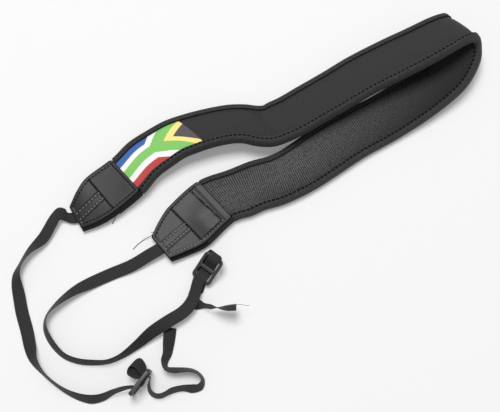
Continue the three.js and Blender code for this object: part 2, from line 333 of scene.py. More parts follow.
# Edges of the print in millimetres of flat cloth: along the pad, and from its middle to the far edge.
PRINT_EDGES = [
    ("#4269ac", None),
    ("#f4f4f4", ((52.0, 8.5), (79.9, 8.8), (87.5, 15.8), "left")),
    ("#86c96a", ((52.0, 4.1), (82.0, 4.6), (93.7, 14.5), "left")),
    ("#f4f4f4", ((52.0, -3.1), (82.2, -2.9), (99.0, -12.2), "right")),
    ("#c24a4a", ((52.0, -7.8), (81.7, -8.0), (90.0, -13.1), "right")),
    ("#fbe68c", ((108.3, 13.2), (93.0, 1.4), (113.7, -11.5), "inside")),
    ("#5a5458", ((111.7, 9.2), (101.2, 0.8), (120.2, -10.5), "inside")),
]
PRINT_HOIST = ((110.6, 13.0), (121.3, -12.3))
PRINT_NEAR, PRINT_FAR = -13.2, 14.4
PRINT_START, PRINT_END = 52.0, 125.0
SHARP = 3.0
# Under the caps the foam is coloured near-black: painted shade for the deep shade along the caps' sides.
CAP_SHADE_BLACK = "#0b0b0b"
CAP_LINES = [float(pad_strip.length_at(place)) for place in (CAP_ROWS, pad_strip.last - CAP_ROWS)]

knit = finish_of("knitted_nylon_over_foam", Roughness=0.85, Specular_IOR_Level=0.3, Sheen_Weight=0.12)
tree = knit.tree
spot = node(tree, "ShaderNodeTexCoord").outputs["Object"]
grain = node(tree, "ShaderNodeTexNoise", {"Vector": spot, "Scale": 1 / (KNIT_GRAIN * MM), "Detail": 3.0})
cloth_grey = node(
    tree,
    "ShaderNodeMix",
    {"Factor": grain.outputs["Fac"], 6: linear(KNIT_DARK), 7: linear(KNIT_GREY)},
    data_type="RGBA",
)
cloth_map = node(tree, "ShaderNodeUVMap", uv_map="cloth")
flat_cloth = node(
    tree, "ShaderNodeVectorMath", {0: cloth_map.outputs["UV"], 1: (1, -1, 0)}, operation="MULTIPLY"
)


def beyond(line):
    """How far a point of the cloth lies to the left of a line, as a mask with a crisp edge."""
    (x0, y0), (x1, y1) = line
    long = math.hypot(x1 - x0, y1 - y0)
    normal = ((y0 - y1) / long, (x1 - x0) / long, 0)
    reach = normal[0] * x0 + normal[1] * y0
    side = node(tree, "ShaderNodeVectorMath", {0: flat_cloth.outputs[0], 1: normal}, operation="DOT_PRODUCT")
    scaled = {0: side.outputs["Value"], 1: SHARP, 2: 0.5 - reach * SHARP}
    return node(tree, "ShaderNodeMath", scaled, operation="MULTIPLY_ADD", use_clamp=True).outputs[0]


def both(a, b, operation):
    return node(tree, "ShaderNodeMath", {0: a, 1: b}, operation=operation).outputs[0]


def flipped(mask):
    return node(tree, "ShaderNodeMath", {0: 1.0, 1: mask}, operation="SUBTRACT").outputs[0]


printed = None
for colour, edge in PRINT_EDGES:
    if edge is None:
        printed = linear(colour)
        continue
    start, corner, finish, side = edge
    first, second = beyond((start, corner)), beyond((corner, finish))
    if side == "inside":
        mask = both(first, second, "MINIMUM")
    else:
        joined = both(first, second, "MINIMUM" if side == "left" else "MAXIMUM")
        mask = flipped(joined)
    printed = node(
        tree, "ShaderNodeMix", {"Factor": mask, 6: printed, 7: linear(colour)}, data_type="RGBA"
    ).outputs[2]
corners = (
    (PRINT_START, PRINT_NEAR),
    (PRINT_END, PRINT_NEAR),
    (PRINT_END, PRINT_FAR),
    (PRINT_START, PRINT_FAR),
)
in_print = flipped(beyond(PRINT_HOIST))
for line in zip(corners, corners[1:] + corners[:1]):
    in_print = both(in_print, beyond(line), "MINIMUM")
pad_colour = node(
    tree,
    "ShaderNodeMix",
    {"Factor": in_print, 6: cloth_grey.outputs[2], 7: printed},
    data_type="RGBA",
)
# Painted shade: the foam under the caps is mixed to near-black.
in_cap = 0.0
for cap_end in (((CAP_LINES[0], 0), (CAP_LINES[0], 1)), ((CAP_LINES[1], 1), (CAP_LINES[1], 0))):
    in_cap = both(in_cap, beyond(cap_end), "MAXIMUM")
pad_colour = node(
    tree,
    "ShaderNodeMix",
    {"Factor": in_cap, 6: pad_colour.outputs[2], 7: linear(CAP_SHADE_BLACK)},
    data_type="RGBA",
)
knit_bump = node(
    tree, "ShaderNodeBump", {"Height": grain.outputs["Fac"], "Strength": 0.25, "Distance": 0.3 * MM}
)
tree.links.new(pad_colour.outputs[2], knit.shader.inputs["Base Color"])
tree.links.new(knit_bump.outputs["Normal"], knit.shader.inputs["Normal"])

laid = pad_strip.evenly(0, pad_strip.last, CLOTH_STEP)
top = foam_outer(laid.place)[:, None]
half = foam_half(laid)[:, None]
round_edge = FOAM.rounding * (top - FOAM.inner)
spread = np.linspace(1, -1, 41)[None, :]
top_across = spread * (half - round_edge)
open_half = laid.half[:, None] - TAPE.leg - FOAM.slack
bare = smooth(CAP_ROWS, CAP_ROWS + FOAM.crown_from, from_tip(laid.place))[:, None]
swell = np.clip(1 - np.abs(top_across / open_half) ** 3, 0, None)
crease_at = CREASE.middle + CREASE.slant * top_across
from_crease = (laid.length[:, None] - crease_at) / CREASE.wide
bent = CREASE.deep * np.exp(-(from_crease**2)) * smooth(0, 0.5, swell)
top_out = top + bare * ((FOAM.crown + FOAM.dip) * swell - FOAM.dip * (swell > 0) - bent)
ring_across = np.hstack([-half, round_edge - half, half - round_edge, half, half, top_across, -half])
low = np.full_like(half, FOAM.inner)
ring_out = np.hstack(
    [low + round_edge, low, low, low + round_edge, top - round_edge, top_out, top - round_edge]
)
neck_pad = keep(lofted("neck_pad_foam", laid, ring_across, ring_out, knit.material), "neoprene", "neck_pad")

# Grip lining: a ribbed mesh on the side that lies on the neck, sewn in along both edges and under
# the caps. Its ribs are raised rows of knit that run from edge to edge.
LINING = SimpleNamespace(
    outer=-2.3, inner=-3.3, start=2.1, slack=0.1, rib_pitch=1.65, rib_wide=1.3, rib_high=0.4, rib_tucked=1.5
)

# Knitted polyester mesh: grey raised rows with dark gaps between them. The rows are painted darker
# towards the fold: painted shade for the shade inside the fold.
MESH_GREY, MESH_DARK, MESH_BEAD = "#767676", "#2a2a2a", 1.1
MESH_FOLD_SHADE, FOLD_SHADE_FROM, FOLD_SHADE_FULL = "#303030", 45.0, 155.0
gap_cloth = finish_of("mesh_ground", Base_Color=linear(MESH_DARK), Roughness=0.95, Specular_IOR_Level=0.1)
rib_cloth = finish_of("mesh_rib", Roughness=0.8, Specular_IOR_Level=0.25, Sheen_Weight=0.1)
tree = rib_cloth.tree
spot = node(tree, "ShaderNodeTexCoord").outputs["Object"]
beads = node(tree, "ShaderNodeTexVoronoi", {"Vector": spot, "Scale": 1 / (MESH_BEAD * MM)})
bead_grey = node(
    tree,
    "ShaderNodeMix",
    {"Factor": beads.outputs["Distance"], 6: linear(MESH_GREY), 7: linear(MESH_DARK)},
    data_type="RGBA",
)
along_x = node(tree, "ShaderNodeSeparateXYZ", {0: spot})
# Painted shade: the rows darken along x, from 45 mm on towards the fold at the right end.
fold_shade = node(
    tree,
    "ShaderNodeMapRange",
    {"Value": along_x.outputs["X"], "From Min": FOLD_SHADE_FROM * MM, "From Max": FOLD_SHADE_FULL * MM},
)
mesh_grey = node(
    tree,
    "ShaderNodeMix",
    {"Factor": fold_shade.outputs["Result"], 6: bead_grey.outputs[2], 7: linear(MESH_FOLD_SHADE)},
    data_type="RGBA",
)
tree.links.new(mesh_grey.outputs[2], rib_cloth.shader.inputs["Base Color"])

laid = pad_strip.evenly(LINING.start, pad_strip.last - LINING.start, CLOTH_STEP)
half = (foam_half(laid) - LINING.slack)[:, None]
ring_across = np.hstack([-half, half, half, -half])
ring_out = np.broadcast_to(
    [LINING.inner, LINING.inner, LINING.outer, LINING.outer], ring_across.shape
)
keep(lofted("grip_lining_ground", laid, ring_across, ring_out, gap_cloth.material), "mesh", "grip_lining")


def named_points(name, spots, **vectors):
    mesh = bpy.data.meshes.new(name)
    mesh.from_pydata(spots.tolist(), [], [])
    for key, values in vectors.items():
        kind = "FLOAT" if values.ndim == 1 else "FLOAT_VECTOR"
        layer = mesh.attributes.new(key, kind, "POINT")
        field = "value" if values.ndim == 1 else "vector"
        layer.data.foreach_set(field, values.ravel().astype(np.float32))
    made = bpy.data.objects.new(name, mesh)
    scene.collection.objects.link(made)
    return made


def new_tree(name, **sizes):
    tree = bpy.data.node_groups.new(name, "GeometryNodeTree")
    tree.interface.new_socket("Geometry", in_out="INPUT", socket_type="NodeSocketGeometry")
    for key, value in sizes.items():
        size = tree.interface.new_socket(
            key.replace("_", " "), in_out="INPUT", socket_type="NodeSocketFloat"
        )
        size.default_value = value
    tree.interface.new_socket("Geometry", in_out="OUTPUT", socket_type="NodeSocketGeometry")
    return tree, node(tree, "NodeGroupInput").outputs


def settled(made, tree, **sizes):
    """Runs a node tree on an object and leaves its result as a plain mesh."""
    modifier = made.modifiers.new(tree.name, "NODES")
    modifier.node_group = tree
    sockets = {s.name: s.identifier for s in tree.interface.items_tree if s.in_out == "INPUT"}
    for key, value in sizes.items():
        modifier[sockets[key.replace("_", " ")]] = float(value)
    graph = bpy.context.evaluated_depsgraph_get()
    mesh = bpy.data.meshes.new_from_object(made.evaluated_get(graph), depsgraph=graph)
    made.modifiers.clear()
    made.data = mesh
    mesh.name = made.name
    mesh.polygons.foreach_set("use_smooth", [True] * len(mesh.polygons))
    return made


rib_tree, sizes = new_tree("ribs_across", Rib_width=0.0015, Rib_height=0.0005)
rod = node(rib_tree, "GeometryNodeMeshCylinder", {"Vertices": 10, "Radius": 1.0, "Depth": 2.0})
span = node(rib_tree, "GeometryNodeInputNamedAttribute", {"Name": "span"}, data_type="FLOAT")
across = node(rib_tree, "GeometryNodeInputNamedAttribute", {"Name": "across"}, data_type="FLOAT_VECTOR")
outward = node(rib_tree, "GeometryNodeInputNamedAttribute", {"Name": "outward"}, data_type="FLOAT_VECTOR")
turn = node(
    rib_tree,
    "FunctionNodeAxesToRotation",
    {0: across.outputs["Attribute"], 1: outward.outputs["Attribute"]},
    primary_axis="Z",
    secondary_axis="X",
)
half_width = node(rib_tree, "ShaderNodeMath", {0: sizes["Rib width"], 1: 0.5}, operation="MULTIPLY")
stretch = node(
    rib_tree,
    "ShaderNodeCombineXYZ",
    {"X": sizes["Rib height"], "Y": half_width.outputs[0], "Z": span.outputs["Attribute"]},
)
placed = node(
    rib_tree,
    "GeometryNodeInstanceOnPoints",
    {
        "Points": sizes["Geometry"],
        "Instance": rod.outputs["Mesh"],
        "Rotation": turn.outputs[0],
        "Scale": stretch.outputs[0],
    },
)
real = node(rib_tree, "GeometryNodeRealizeInstances", {"Geometry": placed.outputs[0]})
dressed = node(
    rib_tree, "GeometryNodeSetMaterial", {"Geometry": real.outputs[0], "Material": rib_cloth.material}
)
node(rib_tree, "NodeGroupOutput", {"Geometry": dressed.outputs[0]})

laid = pad_strip.evenly(CAP_ROWS - 0.2, pad_strip.last - CAP_ROWS + 0.2, LINING.rib_pitch)
flat = np.zeros(len(laid.half))
ribs = named_points(
    "grip_lining_ribs",
    on_strip(laid, flat, flat + LINING.inner),
    across=laid.edge,
    outward=-laid.face,
    span=(laid.half - TAPE.leg + LINING.rib_tucked) * MM,
)
settled(ribs, rib_tree, Rib_width=LINING.rib_wide * MM, Rib_height=LINING.rib_high * MM)
keep(ribs, "mesh")

# Edge binding: woven tape folded over the edge of the foam and the lining, sewn through all layers
# with one row of dark thread near its inner edge. Its ends are pressed flat next to the caps.
TAPE_GREY, TAPE_DARK, TAPE_WEAVE = "#484646", "#121111", 1.3

# Polyester tape: matt, with a fine weave along it, drawn at 1.3 mm because the real one would not show.
tape_cloth = finish_of("polyester_tape", Roughness=0.85, Specular_IOR_Level=0.25, Sheen_Weight=0.1)
tree = tape_cloth.tree
spot = node(tree, "ShaderNodeTexCoord").outputs["Object"]
weave = node(tree, "ShaderNodeTexNoise", {"Vector": spot, "Scale": 1 / (TAPE_WEAVE * MM), "Detail": 2.0})
tape_grey = node(
    tree,
    "ShaderNodeMix",
    {"Factor": weave.outputs["Fac"], 6: linear(TAPE_DARK), 7: linear(TAPE_GREY)},
    data_type="RGBA",
)
tape_bump = node(
    tree, "ShaderNodeBump", {"Height": weave.outputs["Fac"], "Strength": 0.3, "Distance": 0.3 * MM}
)
tree.links.new(tape_grey.outputs[2], tape_cloth.shader.inputs["Base Color"])
tree.links.new(tape_bump.outputs["Normal"], tape_cloth.shader.inputs["Normal"])

TAPE_TOP = FOAM.outer + TAPE.gap
TAPE_LOW = LINING.inner - TAPE.gap
# Outside of the tape, from its outer leg round the edge to its inner leg: how far in from the edge,
# and how far out of the foam's outer face or of the lining.
TAPE_OUTSIDE = [
    (5.5, 0.2, 1),
    (5.2, 0.5, 1),
    (4.6, 0.6, 1),
    (4.0, 0.75, 1),
    (3.0, 1.0, 1),
    (2.0, 1.0, 1),
    (1.1, 0.75, 1),
    (0.4, 0.1, 1),
    (0.05, -1.0, 1),
    (0.0, -2.9, 1),
    (0.05, -1.0, -1),
    (0.4, 0.1, -1),
    (1.1, 0.75, -1),
    (2.0, 1.0, -1),
    (3.0, 1.0, -1),
    (4.0, 0.8, -1),
    (4.6, 0.6, -1),
    (5.2, 0.5, -1),
    (5.5, 0.2, -1),
]
laid = pad_strip.evenly(CAP_ROWS + 0.01, pad_strip.last - CAP_ROWS - 0.01, CLOTH_STEP)
from_cap = np.minimum(laid.length - laid.length[0], laid.length[-1] - laid.length)
flattened = smooth(TAPE.flat_from, TAPE.full_from, from_cap)[:, None]
outside_in, raised, face = (np.array(column) for column in zip(*TAPE_OUTSIDE))
raised = np.where(raised > 0, raised * flattened, raised)
outside_out = np.where(face > 0, TAPE_TOP + raised, TAPE_LOW - raised)
inside_in = np.array([TAPE.leg, TAPE.thick, TAPE.thick, TAPE.leg])
inside_out = np.array([TAPE_LOW, TAPE_LOW, TAPE_TOP, TAPE_TOP])
ring_in = np.concatenate([outside_in, inside_in])[::-1]
tape_out = np.hstack([outside_out, np.broadcast_to(inside_out, (len(raised), 4))])[:, ::-1]
for side, name in ((1, "near"), (-1, "far")):
    ring_across = side * (laid.half[:, None] - ring_in[None, :])
    ring_out = tape_out
    if side < 0:
        ring_across, ring_out = ring_across[:, ::-1], ring_out[:, ::-1]
    keep(
        lofted("edge_binding_" + name, laid, ring_across, ring_out, tape_cloth.material, 60),
        "tape",
        "binding_" + name,
    )

# Bonded nylon thread: matt black, so that the seams read as dark lines on the grey tape.
THREAD_BLACK, ON_TABLE = "#0a0a0a", 0.05
thread = finish_of(
    "bonded_nylon_thread", Base_Color=linear(THREAD_BLACK), Roughness=0.8, Specular_IOR_Level=0.15
)

stitch_tree, sizes = new_tree("row_of_stitches", Pitch=0.003, Length=0.002, Thickness=0.0005)
curve = node(stitch_tree, "GeometryNodeMeshToCurve", {"Mesh": sizes["Geometry"]})
spaced = node(
    stitch_tree,
    "GeometryNodeResampleCurve",
    {"Curve": curve.outputs[0], "Length": sizes["Pitch"]},
    mode="LENGTH",
)
grain_of = node(stitch_tree, "GeometryNodeInputTangent")
outward = node(stitch_tree, "GeometryNodeInputNamedAttribute", {"Name": "outward"}, data_type="FLOAT_VECTOR")
turn = node(
    stitch_tree,
    "FunctionNodeAxesToRotation",
    {0: grain_of.outputs[0], 1: outward.outputs["Attribute"]},
    primary_axis="X",
    secondary_axis="Z",
)
bead = node(stitch_tree, "GeometryNodeMeshUVSphere", {"Segments": 8, "Rings": 6, "Radius": 0.5})
stretch = node(
    stitch_tree,
    "ShaderNodeCombineXYZ",
    {"X": sizes["Length"], "Y": sizes["Thickness"], "Z": sizes["Thickness"]},
)
placed = node(
    stitch_tree,
    "GeometryNodeInstanceOnPoints",
    {
        "Points": spaced.outputs[0],
        "Instance": bead.outputs["Mesh"],
        "Rotation": turn.outputs[0],
        "Scale": stretch.outputs[0],
    },
)
real = node(stitch_tree, "GeometryNodeRealizeInstances", {"Geometry": placed.outputs[0]})
dressed = node(
    stitch_tree, "GeometryNodeSetMaterial", {"Geometry": real.outputs[0], "Material": thread.material}
)
node(stitch_tree, "NodeGroupOutput", {"Geometry": dressed.outputs[0]})


def stitched(name, seams, pitch, long, thick, finish=thread):
    """Rows of stitches along seams, each a run of places in metres with the way out of the cloth.

    Those underneath are pressed flat on the table.
    """
    spots = np.vstack([s for s, _ in seams])
    made = named_points(name, spots, outward=np.vstack([o for _, o in seams]))
    mesh = made.data
    first, links = 0, []
    for run, _ in seams:
        links += [(first + i, first + i + 1) for i in range(len(run) - 1)]
        first += len(run)
    mesh.edges.add(len(links))
    mesh.edges.foreach_set("vertices", np.array(links).ravel())
    settled(made, stitch_tree, Pitch=pitch * MM, Length=long * MM, Thickness=thick * MM)
    spots = np.empty(3 * len(made.data.vertices), np.float32)
    made.data.vertices.foreach_get("co", spots)
    spots[2::3] = np.maximum(spots[2::3], ON_TABLE * MM)
    made.data.vertices.foreach_set("co", spots)
    made.data.materials.clear()
    made.data.materials.append(finish.material)
    return made


# Far edge: short stitches set close in the tape's inner edge, which read as one dark line: painted shade
# for the shade along the tape's edge. Near edge: longer ones, further out on the outer side of the tape.
STITCH_COLUMNS = (
    "side",
    "name",
    "outer_in",
    "outer_lift",
    "inner_in",
    "inner_lift",
    "pitch",
    "long",
    "thick",
)
STITCH_ROWS = [
    [1, "near", 3.6, 0.75, 5.0, 0.4, 3.6, 3.0, 1.75],
    # Painted shade: the far row's close black stitches make the dark line along the tape's edge.
    [-1, "far", 5.1, 0.35, 4.6, 0.5, 2.0, 2.4, 1.0],
]
flat = np.zeros(len(laid.half))
for row in (SimpleNamespace(**dict(zip(STITCH_COLUMNS, values))) for values in STITCH_ROWS):
    seams = [
        (on_strip(laid, row.side * (laid.half - row.outer_in), flat + TAPE_TOP + row.outer_lift), laid.face),
        (on_strip(laid, row.side * (laid.half - row.inner_in), flat + TAPE_LOW - row.inner_lift), -laid.face),
    ]
    keep(stitched("binding_stitches_" + row.name, seams, row.pitch, row.long, row.thick), "tape")

# Leather caps: two panels of grained leather, one on each face, closed over the end of the pad and
# the end of the webbing. A seam runs round them, one crosses them and two hold the webbing.
LEATHER = SimpleNamespace(thick=1.2, gap=0.3, inner=-3.7, near=3.0, far=0.4, corner=3.0, tip_corner=1.0)
CAP = SimpleNamespace(
    seam_in=3.0, cross=27.5, rows=2.7, tongue=4.2, crease=6.0, fold_near=8.0, fold_far=10.0
)
ROLLED = SimpleNamespace(wide=0.9, deep=0.5)
# Depth and width of the grooves that the seams and the pressed lines make in the leather.
SEAM_GROOVE, CROSS_GROOVE, ROW_GROOVE, FOLD_GROOVE = (0.15, 0.6), (0.5, 0.5), (0.3, 0.5), (0.35, 0.5)
SEWN_DOWN, STITCH_LIFT = 0.2, 0.1
# Where the softer panel swells: from the far side to the near one, and from the cross seam on.
SWELL = SimpleNamespace(far=-15.0, near=5.0, start=-3.0, full=14.0, near_step=0.8, fold_step=1.0)

# Full-grain leather with a satin dressing: fine pebbles about a millimetre wide, a soft shine, and
# slightly cloudy in tone.
HIDE_GREY, HIDE_DARK, PEBBLE, CLOUDS = "#323232", "#252525", 0.9, 9.0
hide = finish_of("grained_leather", Roughness=0.34, Specular_IOR_Level=0.165)
tree = hide.tree
spot = node(tree, "ShaderNodeTexCoord").outputs["Object"]
pebbles = node(tree, "ShaderNodeTexVoronoi", {"Vector": spot, "Scale": 1 / (PEBBLE * MM)})
cloudy = node(tree, "ShaderNodeTexNoise", {"Vector": spot, "Scale": 1 / (CLOUDS * MM), "Detail": 3.0})
hide_grey = node(
    tree,
    "ShaderNodeMix",
    {"Factor": cloudy.outputs["Fac"], 6: linear(HIDE_DARK), 7: linear(HIDE_GREY)},
    data_type="RGBA",
)
hide_bump = node(
    tree, "ShaderNodeBump", {"Height": pebbles.outputs["Distance"], "Strength": 0.2, "Distance": 0.25 * MM}
)
tree.links.new(hide_grey.outputs[2], hide.shader.inputs["Base Color"])
tree.links.new(hide_bump.outputs["Normal"], hide.shader.inputs["Normal"])

# Edge paint on the cut edges of the leather: black, and also painted shade for the dark band of shade
# along the caps' sides. Glinting cap thread: glossy, its light grey a painted glint.
EDGE_PAINT_AND_SHADE_BLACK, THREAD_GLINT_GREY = "#0c0c0c", "#868686"
edge_black_and_shade = finish_of("black_edge_paint_and_shade", Base_Color=linear(EDGE_PAINT_AND_SHADE_BLACK), Roughness=0.5)
# Painted glint: a light grey copy of the thread, for the seams whose stitches look lit.
glint_thread = finish_of("thread_painted_glint", Base_Color=linear(THREAD_GLINT_GREY), Roughness=0.35)


def groove(distance, depth, wide):
    return -depth * np.exp(-((distance / wide) ** 2))


def fold_line(across, near, far):
    """How far from the panel's end the inner of its two pressed lines lies."""
    return CAP.fold_near + (CAP.fold_far - CAP.fold_near) * (near - across) / (near + far)


def cap_relief(run, across, near, far, long, look):
    """Height of a panel's face: rolled edges, sewn grooves, and the webbing's hump under it."""
    side = np.minimum(near - across, far + across)
    end = long - run
    inside = np.minimum(np.minimum(side, end), run)
    height = -ROLLED.deep * np.clip(1 - inside / ROLLED.wide, 0, 1) ** 2
    sewn = np.minimum(side, run) if look.folded else inside
    within = smooth(CAP.seam_in - 0.6, CAP.seam_in, sewn)
    height = height + groove(sewn - CAP.seam_in, *SEAM_GROOVE) - SEWN_DOWN * within
    height = height + within * groove(run - CAP.cross, *CROSS_GROOVE)
    tongue = smooth(CAP.cross + 0.4, CAP.cross - 0.6, run) * within
    hump = smooth(CAP.tongue + 0.5, CAP.tongue - 0.5, np.abs(across))
    height = height + tongue * (look.hump * hump + groove(np.abs(across) - CAP.rows, *ROW_GROOVE))
    if look.folded:
        pressed = (CAP.crease, fold_line(across, near, far))
        lines = sum(groove(end - line, *FOLD_GROOVE) for line in pressed)
        height = height + smooth(1.0, 2.5, side) * lines
    swell = smooth(SWELL.far, SWELL.near, across) * smooth(0, SWELL.near_step, near - across - CAP.seam_in)
    held = smooth(SWELL.start, SWELL.full, run - CAP.cross)
    held = held * smooth(0, SWELL.fold_step, end - fold_line(across, near, far))
    return (height + look.pillow * swell * held) * look.relief


def cap_panel(name, at_b, outer, look):
    long = pad_strip.length_at(CAP_ROWS)
    if at_b:
        long = pad_strip.length_at(pad_strip.last) - pad_strip.length_at(pad_strip.last - CAP_ROWS)
    runs = np.unique(np.concatenate([np.linspace(0, long, 121), long - np.linspace(0, 3, 13) ** 1.5 / 3]))
    runs = runs[(runs >= 0) & (runs <= long)]
    if at_b:
        runs = runs[::-1]
        places = pad_strip.place_at(pad_strip.length_at(pad_strip.last) - runs)
    else:
        places = pad_strip.place_at(runs)
    laid = pad_strip.at(places)
    rounding = 0
    for corner, gap in ((LEATHER.corner, long - runs), (LEATHER.tip_corner, runs)):
        left = np.clip(corner - gap, 0, corner)
        rounding = rounding + corner - np.sqrt(corner**2 - left**2)
    near = (laid.half - LEATHER.near - rounding)[:, None]
    far = (laid.half - LEATHER.far - rounding)[:, None]
    share = np.linspace(0, 1, 61)[None, :]
    across = near - (near + far) * share
    relief = cap_relief(runs[:, None], across, near, far, long, look)
    if outer:
        under = np.broadcast_to((foam_outer(laid.place) + LEATHER.gap)[:, None], across.shape)
        ring_out = np.hstack([under, under + LEATHER.thick + relief])
    else:
        under = np.full(across.shape, LEATHER.inner)
        ring_out = np.hstack([(under - LEATHER.thick - relief)[:, ::-1], under])
    ring_across = np.hstack([across[:, ::-1], across])
    made = lofted(name, laid, ring_across, ring_out, hide.material)
    # Black edge paint that is also painted shade on the panels' cut edges.
    made.data.materials.append(edge_black_and_shade.material)
    ring = ring_across.shape[1]
    painted = np.zeros(len(made.data.polygons), np.int32)
    for cut_edge in (slice(ring // 2 - 1, -2, ring), slice(ring - 1, -2, ring), slice(-2, None)):
        painted[cut_edge] = 1
    made.data.polygons.foreach_set("material_index", painted)
    sign = 1 if outer else -1
    order = np.argsort(runs)

    def edges_at(run):
        return np.interp(run, runs[order], near[order, 0]), np.interp(run, runs[order], far[order, 0])

    def seam(points):
        run, part = np.array(points).T
        raised = cap_relief(run, part, *edges_at(run), long, look)
        spots = pad_strip.at(np.interp(run, runs[order], places[order]))
        base = foam_outer(spots.place) + LEATHER.gap if outer else np.full(len(run), LEATHER.inner)
        return on_strip(spots, part, base + sign * (LEATHER.thick + raised + STITCH_LIFT)), sign * spots.face

    last_run = long - (CAP.fold_near if look.folded else CAP.seam_in)
    side_runs = np.linspace(CAP.seam_in, last_run, 60)
    near_side = [(r, edges_at(r)[0] - CAP.seam_in) for r in side_runs]
    far_side = [(r, CAP.seam_in - edges_at(r)[1]) for r in side_runs]
    rows = [[(r, side * CAP.rows) for r in np.linspace(CAP.seam_in, CAP.cross - 1, 30)] for side in (-1, 1)]
    # Painted glint: these seams get the light grey thread.
    dark, glinting = [far_side], rows
    if look.folded:
        glinting = rows + [near_side]
    else:
        end = np.linspace(near_side[-1][1], far_side[-1][1], 30)
        dark = [far_side, near_side, [(last_run, x) for x in end]]
    cross_near, cross_far = edges_at(CAP.cross)
    cross = np.linspace(cross_near - CAP.seam_in, CAP.seam_in - cross_far, 30)
    cross_line = [(CAP.cross, x) for x in cross]
    return made, [seam(line) for line in dark], [seam(line) for line in glinting], [seam(cross_line)]


# The panels that lie underneath are pressed flat by the table.
SEWN_FLAT = SimpleNamespace(relief=1.0, hump=0.5, pillow=0.0, folded=False)
PRESSED = SimpleNamespace(relief=0.15, hump=0.3, pillow=0.0, folded=False)
PILLOWED = SimpleNamespace(relief=1.0, hump=0.3, pillow=1.7, folded=True)
cap_seams, glinting_seams, cross_seams = [], [], []
for name, node_name, at_b, outer, look in (
    ("leather_cap_outer_a", "cap_outer_a", False, True, SEWN_FLAT),
    ("leather_cap_inner_a", "cap_inner_a", False, False, PRESSED),
    ("leather_cap_outer_b", "cap_outer_b", True, True, PRESSED),
    ("leather_cap_inner_b", "cap_inner_b", True, False, PILLOWED),
):
    panel, dark, glinting, cross = cap_panel(name, at_b, outer, look)
    keep(panel, "leather", node_name)
    if look.relief == 1.0:
        cap_seams += dark
        glinting_seams += glinting
        cross_seams += cross
# Pitch, length and thickness of the stitches of each seam.
for name, seams, pitch, long, thick, finish in (
    ("cap_stitches", cap_seams, 2.9, 1.8, 1.0, thread),
    # Painted glint: light grey thread on the tongue rows and the folded panel's near seam.
    ("cap_stitches_painted_glint", glinting_seams, 2.9, 1.9, 0.9, glint_thread),
    ("cap_cross_stitches", cross_seams, 2.4, 2.1, 1.1, thread),
):
    keep(stitched(name, seams, pitch, long, thick, finish), "leather")

# Webbing: a 10 mm woven strap from under each cap, through its slider and back out as a free tail.
# Strap A's slider stands on its side with the lug loop beside it; strap B's lies face up.
RUN_COLUMNS = ("x", "y", "z", "across", "rise")
RUN_A = [
    [-142.6, -10.6, 3, -62, 0],
    [-146.6, -8.6, 5.2, -90, -20],
    [-151.2, -8, 6.4, -80, -6],
    [-155.6, -13.4, 5.6, -54, 6],
    [-163.6, -27.2, 3.6, -40, 12],
    [-174, -38, 4.8, -40, 50],
    [-180, -48, 5.2, -24, 62],
    [-182.8, -56, 4.6, -4, 46],
    [-182.2, -64, 3.2, 8, 24],
    [-180.4, -72.5, 1.7, 14, 8],
    [-177.3, -86, 1.1, 17, 0],
    [-172.8, -100, 1.1, 17, 0],
    [-169.4, -112.5, 2.4, 18, 14],
    [-165.6, -123, 4.8, 26, 48],
    [-157.5, -133, 5.5, 40, 72],
    [-147.8, -141.2, 5.5, 52, 74],
    [-138, -147.2, 5.4, 60, 68],
    [-128, -151, 5.2, 70, 58],
    [-120, -152.3, 5, 86, 52],
    [-112, -150.8, 5.4, 106, 60],
    [-103.6, -146.8, 6.4, 112, 72],
    [-95.2, -144.1, 7.8, 122, 76],
]
TAIL_A = [
    [-77, -141.5, 6.8, 0, 74],
    [-75.8, -146.3, 6, 36, 70],
    [-72.3, -149.4, 5.7, 65, 70],
    [-67.8, -149.8, 5.6, 96, 71],
    [-63.5, -148, 5.5, 118, 73],
    [-59, -145.7, 5.4, 114, 68],
    [-51, -144, 5.2, 92, 66],
    [-43.5, -144.3, 4.8, 92, 54],
    [-37.8, -142.8, 5.2, 135, 62],
    [-35.9, -138, 5.4, 188, 76],
    [-38.6, -133.5, 5.4, 230, 76],
    [-44, -130.8, 5.3, 254, 70],
    [-51, -130.2, 5.1, 268, 64],
    [-58, -130.4, 5, 268, 60],
    [-64, -129, 5.3, 240, 68],
    [-65.3, -124, 5.1, 176, 62],
    [-63.5, -118, 4.6, 160, 50],
    [-62.8, -111, 3.6, 168, 34],
    [-62.2, -104, 2.7, 170, 22],
    [-61.8, -97.5, 1.8, 170, 10],
]
RUN_B = [
    [-79, -41, 5.4, -60, 0],
    [-93, -49, 3, -62, 0],
    [-108, -55, 1.2, -66, 0],
    [-124.5, -62.5, 1.6, -64, 8],
    [-137, -69, 3.4, -60, 34],
    [-149, -78.5, 5, -48, 56],
    [-156.5, -87, 5.4, -32, 70],
    [-158.6, -93.5, 5.4, -8, 70],
    [-157.4, -100.5, 5.2, 14, 62],
    [-152, -110, 5, 36, 60],
    [-142.5, -119.4, 5.2, 55, 66],
    [-131.5, -123.6, 5.3, 76, 68],
    [-120, -124.7, 5.4, 92, 70],
    [-108.5, -124, 5.8, 110, 75],
    [-98.6, -120, 6.2, 124, 72],
    [-86.8, -111.4, 6.8, 127, 55],
    [-75.6, -102, 7.6, 126, 28],
    [-63, -93.5, 8, 126, 8],
    [-51, -85.6, 7.6, 132, 0],
    [-44.9, -77.8, 7, 141, 0],
]
TAIL_B = [
    [-40.5, -66, 0.9, -30, 0],
    [-43.6, -72.6, 1, 10, 0],
    [-42, -78.8, 3.2, 64, 28],
    [-35.6, -81, 6, 82, 72],
    [-29.6, -82.4, 9.4, 90, 78],
    [-23.5, -83.6, 12, 90, 106],
    [-17, -83.9, 14, 90, 124],
    [-10.5, -83.6, 15.5, 90, 128],
]
